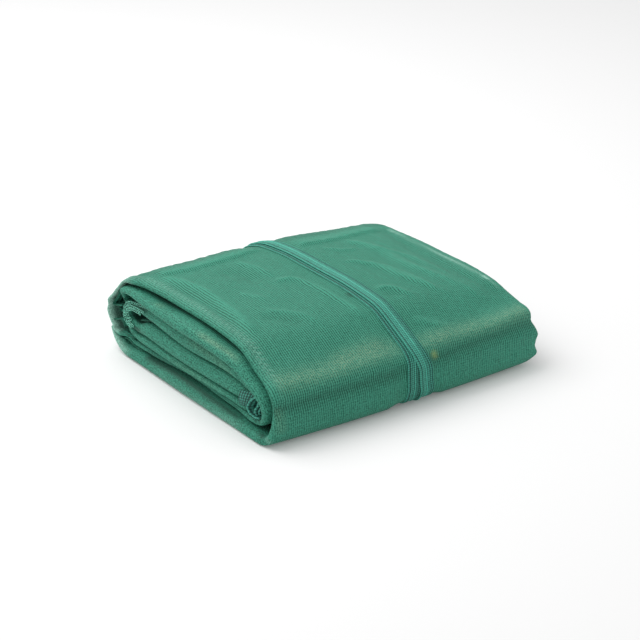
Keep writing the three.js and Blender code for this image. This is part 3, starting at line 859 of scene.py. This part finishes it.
def make_chain(material):
    """Chain stitches by geometry nodes: a link at every step of each row, turned a little at random."""
    chain, link = chain_rows(), chain_link()
    tree = bpy.data.node_groups.new("chain_stitch", "GeometryNodeTree")
    tree.interface.new_socket("Geometry", in_out="INPUT", socket_type="NodeSocketGeometry")
    sizes = {}
    for name, kind, value in (("Spacing", "NodeSocketFloat", LINK_SPACING * MM), ("Seed", "NodeSocketInt", 7),
                              ("Unevenness", "NodeSocketFloat", 0.5), ("Link", "NodeSocketObject", link),
                              ("Finish", "NodeSocketMaterial", material)):
        socket = tree.interface.new_socket(name, in_out="INPUT", socket_type=kind)
        sizes[socket.identifier] = value
    tree.interface.new_socket("Geometry", in_out="OUTPUT", socket_type="NodeSocketGeometry")
    given = add(tree, "NodeGroupInput").outputs
    curve = add(tree, "GeometryNodeMeshToCurve", {0: given["Geometry"]})
    even = add(tree, "GeometryNodeResampleCurve", {"Curve": curve.outputs[0], "Length": given["Spacing"]},
               mode="LENGTH")
    along = add(tree, "GeometryNodeInputTangent")
    turned = add(tree, "FunctionNodeAlignRotationToVector", {"Vector": along.outputs[0]}, axis="Z")
    outward = add(tree, "ShaderNodeCombineXYZ", {"X": -1.0, "Y": -0.35})
    turned = add(tree, "FunctionNodeAlignRotationToVector",
                 {"Rotation": turned.outputs[0], "Vector": outward.outputs[0]}, axis="Y", pivot_axis="Z")
    spread = add(tree, "ShaderNodeMath", {0: given["Unevenness"], 1: -1.0}, operation="MULTIPLY")
    wobble = add(tree, "FunctionNodeRandomValue",
                 {2: spread.outputs[0], 3: given["Unevenness"], "Seed": given["Seed"]}, data_type="FLOAT")
    tilt = add(tree, "ShaderNodeCombineXYZ", {"Y": wobble.outputs[1]})
    way = add(tree, "FunctionNodeRotateRotation", {0: turned.outputs[0], 1: tilt.outputs[0]},
              rotation_space="LOCAL")
    shape = add(tree, "GeometryNodeObjectInfo", {"Object": given["Link"]})
    links = add(tree, "GeometryNodeInstanceOnPoints",
                {"Points": even.outputs[0], "Instance": shape.outputs["Geometry"],
                 "Rotation": way.outputs[0]})
    real = add(tree, "GeometryNodeRealizeInstances", {0: links.outputs[0]})
    finish = add(tree, "GeometryNodeSetMaterial", {"Geometry": real.outputs[0], "Material": given["Finish"]})
    result = add(tree, "NodeGroupOutput")
    tree.links.new(finish.outputs[0], result.inputs[0])
    modifier = chain.modifiers.new("chain_stitch", "NODES")
    modifier.node_group = tree
    for identifier, value in sizes.items():
        modifier[identifier] = value
    made = bpy.data.meshes.new_from_object(chain.evaluated_get(bpy.context.evaluated_depsgraph_get()))
    chain.modifiers.remove(modifier)
    chain.data = made
    made.polygons.foreach_set("use_smooth", [True] * len(made.polygons))
    bpy.data.objects.remove(link)
    return chain


# Materials
def linear(hex_colour):
    """An sRGB hex colour as a linear one with full alpha."""
    parts = [int(hex_colour[i:i + 2], 16) / 255 for i in (1, 3, 5)]
    return (*[c / 12.92 if c <= 0.04045 else ((c + 0.055) / 1.055)**2.4 for c in parts], 1)


def add(tree, kind, sockets=None, **settings):
    """A node with its settings, and its inputs linked or set."""
    made = tree.nodes.new(kind)
    for key, value in settings.items():
        setattr(made, key, value)
    for key, value in (sockets or {}).items():
        if isinstance(value, bpy.types.NodeSocket):
            tree.links.new(value, made.inputs[key])
        else:
            made.inputs[key].default_value = value
    return made


RIB_SPACING = 3.4            # between the knitted ribs, in millimetres
STITCH_SPACING = 3.8         # a real stitch, guessed at 1.5, is too fine to show and so is drawn coarser
GRAIN_SIZE = 2.0             # of the glints on single threads, guessed at 0.3 and likewise drawn coarser


def knitted_mesh():
    """Warp-knitted polyethylene monofilament: raised chains with open stitches between them, dull, with a
    faint shine. It has a painted highlight on its ridges and painted shade in its grooves and hollows, a
    painted sheen on the shoulder, and it is pale where few plies lie."""
    material = bpy.data.materials.new("knitted_monofilament_mesh")
    material.use_nodes = True
    tree = material.node_tree
    shader = tree.nodes["Principled BSDF"]
    uv = add(tree, "ShaderNodeUVMap", uv_map="cloth").outputs[0]
    cloth = add(tree, "ShaderNodeSeparateXYZ", {0: uv})
    place = add(tree, "ShaderNodeTexCoord").outputs["Object"]

    wander = add(tree, "ShaderNodeTexNoise", {"Vector": place, "Scale": 45.0, "Detail": 2.0})
    shift = add(tree, "ShaderNodeMath", {0: wander.outputs[0], 1: 0.0035, 2: 0.0}, operation="MULTIPLY_ADD")
    u = add(tree, "ShaderNodeMath", {0: cloth.outputs[0], 1: shift.outputs[0]}, operation="ADD")
    rib_turn = add(tree, "ShaderNodeMath", {0: u.outputs[0], 1: 2 * math.pi / (RIB_SPACING * MM)},
                   operation="MULTIPLY")
    rib = add(tree, "ShaderNodeMath", {0: rib_turn.outputs[0]}, operation="COSINE")
    stitch_turn = add(tree, "ShaderNodeMath", {0: cloth.outputs[1], 1: 2 * math.pi / (STITCH_SPACING * MM)},
                      operation="MULTIPLY")
    stitch = add(tree, "ShaderNodeMath", {0: stitch_turn.outputs[0]}, operation="COSINE")
    knit = add(tree, "ShaderNodeMath", {0: stitch.outputs[0], 1: 0.32, 2: rib.outputs[0]},
               operation="MULTIPLY_ADD")

    grain = add(tree, "ShaderNodeTexNoise", {"Vector": place, "Scale": 1 / (GRAIN_SIZE * MM), "Detail": 3.0,
                                             "Roughness": 0.75})
    cloud = add(tree, "ShaderNodeTexNoise", {"Vector": place, "Scale": 22.0, "Detail": 3.0, "Roughness": 0.6})
    strength = add(tree, "ShaderNodeMapRange", {"Value": cloud.outputs[0], "From Min": 0.35, "From Max": 0.65,
                                                "To Min": 0.55, "To Max": 0.85})
    fuzz = add(tree, "ShaderNodeAttribute", attribute_name="fuzz").outputs["Fac"]
    plain = add(tree, "ShaderNodeMapRange", {"Value": fuzz, "To Min": 1.0, "To Max": 0.25})
    knit = add(tree, "ShaderNodeMath", {0: knit.outputs[0], 1: plain.outputs[0]}, operation="MULTIPLY")
    tight = add(tree, "ShaderNodeAttribute", attribute_name="tight").outputs["Fac"]
    fainter = add(tree, "ShaderNodeMapRange", {"Value": tight, "To Min": 1.0, "To Max": 0.4})
    strength = add(tree, "ShaderNodeMath", {0: strength.outputs[0], 1: fainter.outputs[0]},
                   operation="MULTIPLY")
    ribbed = add(tree, "ShaderNodeMath", {0: knit.outputs[0], 1: strength.outputs[0]}, operation="MULTIPLY")
    grained = add(tree, "ShaderNodeMapRange", {"Value": grain.outputs[0], "From Min": 0.3, "From Max": 0.7,
                                               "To Min": -0.5, "To Max": 0.5})
    fuzzed = add(tree, "ShaderNodeMapRange", {"Value": fuzz, "To Min": 1.2, "To Max": 2.6})
    grained = add(tree, "ShaderNodeMath", {0: grained.outputs[0], 1: fuzzed.outputs[0]}, operation="MULTIPLY")
    tone = add(tree, "ShaderNodeMath", {0: ribbed.outputs[0], 1: grained.outputs[0]}, operation="ADD")
    # painted highlight on crease ridges and painted shade in grooves, added to the tone
    painted_light = add(tree, "ShaderNodeAttribute", attribute_name="painted_light").outputs["Fac"]
    light_shift = add(tree, "ShaderNodeMapRange", {"Value": painted_light, "To Min": 0.12, "To Max": 0.98})
    tone = add(tree, "ShaderNodeMath", {0: tone.outputs[0], 1: light_shift.outputs[0]}, operation="ADD",
               use_clamp=True)
    colour = add(tree, "ShaderNodeMix", {0: tone.outputs[0], 6: linear("#0c5441"), 7: linear("#3a8f77")},
                 data_type="RGBA")
    mixed = colour.outputs[2]
    speck = add(tree, "ShaderNodeMapRange", {"Value": grain.outputs[0], "From Min": 0.48, "From Max": 0.62})
    # the laid-on colours in turn: a painted sheen, pale thin cloth, a real stain and painted shade
    for key, shade, even, speckled in (("khaki_sheen", "#95a583", 0.08, 0.5), ("pale", "#c6f3e2", 0.5, 0.45),
                                       ("stain", "#a9bd6a", 0.35, 0.3), ("deep", "#0c3427", 0.8, 0.0)):
        laid = add(tree, "ShaderNodeAttribute", attribute_name=key).outputs["Fac"]
        rough = add(tree, "ShaderNodeMath", {0: speck.outputs[0], 1: speckled, 2: even},
                    operation="MULTIPLY_ADD")
        share = add(tree, "ShaderNodeMath", {0: laid, 1: rough.outputs[0]}, operation="MULTIPLY",
                    use_clamp=True)
        tinted = add(tree, "ShaderNodeMix", {0: share.outputs[0], 6: mixed, 7: linear(shade)},
                     data_type="RGBA")
        mixed = tinted.outputs[2]
    tree.links.new(mixed, shader.inputs["Base Color"])

    relief = add(tree, "ShaderNodeMath", {0: grain.outputs[0], 1: 0.8, 2: knit.outputs[0]},
                 operation="MULTIPLY_ADD")
    bump = add(tree, "ShaderNodeBump", {"Height": relief.outputs[0], "Strength": 0.35, "Distance": 0.0005})
    tree.links.new(bump.outputs[0], shader.inputs["Normal"])
    shader.inputs["Roughness"].default_value = 0.72
    shader.inputs["Sheen Weight"].default_value = 0.04
    shader.inputs["Specular IOR Level"].default_value = 0.35
    shader.inputs["Sheen Roughness"].default_value = 0.45
    shader.inputs["Sheen Tint"].default_value = linear("#bfe3d3")
    return material


TAPE_CORD_SPACING = 3.0      # between the lengthwise cords of the tape, in millimetres
TAPE_BAR_SPACING = 2.9       # between its crosswise bars


def knitted_tape():
    """Narrow warp-knitted selvedge tape: lengthwise cords joined by crosswise bars, denser than the net and a
    little smoother. Painted shade darkens the lines between its cords, the lower turn of the tie and the hem."""
    material = bpy.data.materials.new("knitted_selvedge_tape")
    material.use_nodes = True
    tree = material.node_tree
    shader = tree.nodes["Principled BSDF"]
    uv = add(tree, "ShaderNodeUVMap", uv_map="cloth").outputs[0]
    tape = add(tree, "ShaderNodeSeparateXYZ", {0: uv})
    bar_turn = add(tree, "ShaderNodeMath", {0: tape.outputs[1], 1: 2 * math.pi / (TAPE_BAR_SPACING * MM)},
                   operation="MULTIPLY")
    bar = add(tree, "ShaderNodeMath", {0: bar_turn.outputs[0]}, operation="SINE")
    cord_turn = add(tree, "ShaderNodeMath", {0: tape.outputs[0], 1: 2 * math.pi / (TAPE_CORD_SPACING * MM)},
                    operation="MULTIPLY")
    cord = add(tree, "ShaderNodeMath", {0: cord_turn.outputs[0]}, operation="COSINE")
    knit = add(tree, "ShaderNodeMath", {0: bar.outputs[0], 1: 0.6, 2: cord.outputs[0]},
               operation="MULTIPLY_ADD")
    place = add(tree, "ShaderNodeTexCoord").outputs["Object"]
    grain = add(tree, "ShaderNodeTexNoise", {"Vector": place, "Scale": 1 / (GRAIN_SIZE * MM), "Detail": 2.0,
                                             "Roughness": 0.7})
    ribbed = add(tree, "ShaderNodeMath", {0: knit.outputs[0], 1: 0.3}, operation="MULTIPLY")
    # painted shade, laid on the pieces that wear this finish
    groove = add(tree, "ShaderNodeAttribute", attribute_name="groove").outputs["Fac"]
    dark = add(tree, "ShaderNodeMath", {0: groove, 1: -0.7, 2: grain.outputs[0]}, operation="MULTIPLY_ADD")
    tone = add(tree, "ShaderNodeMath", {0: ribbed.outputs[0], 1: dark.outputs[0]}, operation="ADD",
               use_clamp=True)
    colour = add(tree, "ShaderNodeMix", {0: tone.outputs[0], 6: linear("#0b3f35"), 7: linear("#50b29c")},
                 data_type="RGBA")
    tree.links.new(colour.outputs[2], shader.inputs["Base Color"])
    bump = add(tree, "ShaderNodeBump", {"Height": knit.outputs[0], "Strength": 0.4, "Distance": 0.0004})
    tree.links.new(bump.outputs[0], shader.inputs["Normal"])
    shader.inputs["Roughness"].default_value = 0.65
    shader.inputs["Specular IOR Level"].default_value = 0.3
    return material


def stitching_yarn():
    """Twisted polyethylene yarn of the selvedge stitches: thicker and paler than the net's own yarn, and a
    little shinier."""
    material = bpy.data.materials.new("twisted_stitching_yarn")
    material.use_nodes = True
    tree = material.node_tree
    shader = tree.nodes["Principled BSDF"]
    place = add(tree, "ShaderNodeTexCoord").outputs["Object"]
    fibre = add(tree, "ShaderNodeTexNoise", {"Vector": place, "Scale": 700.0, "Detail": 2.0})
    strand = add(tree, "ShaderNodeMapRange", {"Value": fibre.outputs[0], "From Min": 0.38, "From Max": 0.64})
    colour = add(tree, "ShaderNodeMix", {0: strand.outputs[0], 6: linear("#0a4b3a"), 7: linear("#82dfc3")},
                 data_type="RGBA")
    tree.links.new(colour.outputs[2], shader.inputs["Base Color"])
    shader.inputs["Roughness"].default_value = 0.5
    return material


def white_board():
    """Matt white acrylic sheet with a soft glow from beneath, which keeps the shadows on it pale."""
    material = bpy.data.materials.new("backlit_white_acrylic")
    material.use_nodes = True
    shader = material.node_tree.nodes["Principled BSDF"]
    shader.inputs["Base Color"].default_value = linear("#dcdcdc")
    shader.inputs["Roughness"].default_value = 0.9
    shader.inputs["Emission Color"].default_value = linear("#ffffff")
    shader.inputs["Emission Strength"].default_value = 0.1
    return material


net = make_net()
net.data.materials.append(knitted_mesh())
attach(net, "root")
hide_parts("net_band")

tape_finish = knitted_tape()
extras = [make_plies("loose_plies", PLIES, 0), make_plies("rolled_hem", CURLS, CURL_DRIFT), make_hem_tape(),
          make_chain(stitching_yarn())]
extras[0].data.materials.append(net.data.materials[0])
for piece in extras[1:3]:
    piece.data.materials.append(tape_finish)
for piece in extras:
    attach(piece, "root")

tie = make_tie()
tie.data.materials.append(tape_finish)
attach(tie, "root")
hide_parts("tie_strip")

# Studio
floor_mesh = bpy.data.meshes.new("floor")
floor_mesh.from_pydata([(-9, -9, 0), (9, -9, 0), (9, 9, 0), (-9, 9, 0)], [], [(0, 1, 2, 3)])
floor = bpy.data.objects.new("floor", floor_mesh)
bpy.context.scene.collection.objects.link(floor)
floor_mesh.materials.append(white_board())

world = bpy.data.worlds.new("studio")
world.use_nodes = True
world.node_tree.nodes["Background"].inputs["Color"].default_value = (1, 1, 1, 1)
world.node_tree.nodes["Background"].inputs["Strength"].default_value = 0.80
bpy.context.scene.world = world


def make_light(name, location, aim, size, power):
    data = bpy.data.lights.new(name, "AREA")
    data.energy = power
    data.size = size
    light = bpy.data.objects.new(name, data)
    light.location = location
    light.rotation_euler = (Vector(location) - Vector(aim)).to_track_quat("Z", "Y").to_euler()
    bpy.context.scene.collection.objects.link(light)


make_light("soft_box", (-0.6, 1.1, 2.1), (0, 0, 0.05), 2.1, 49)
bpy.context.scene.view_settings.view_transform = "Standard"
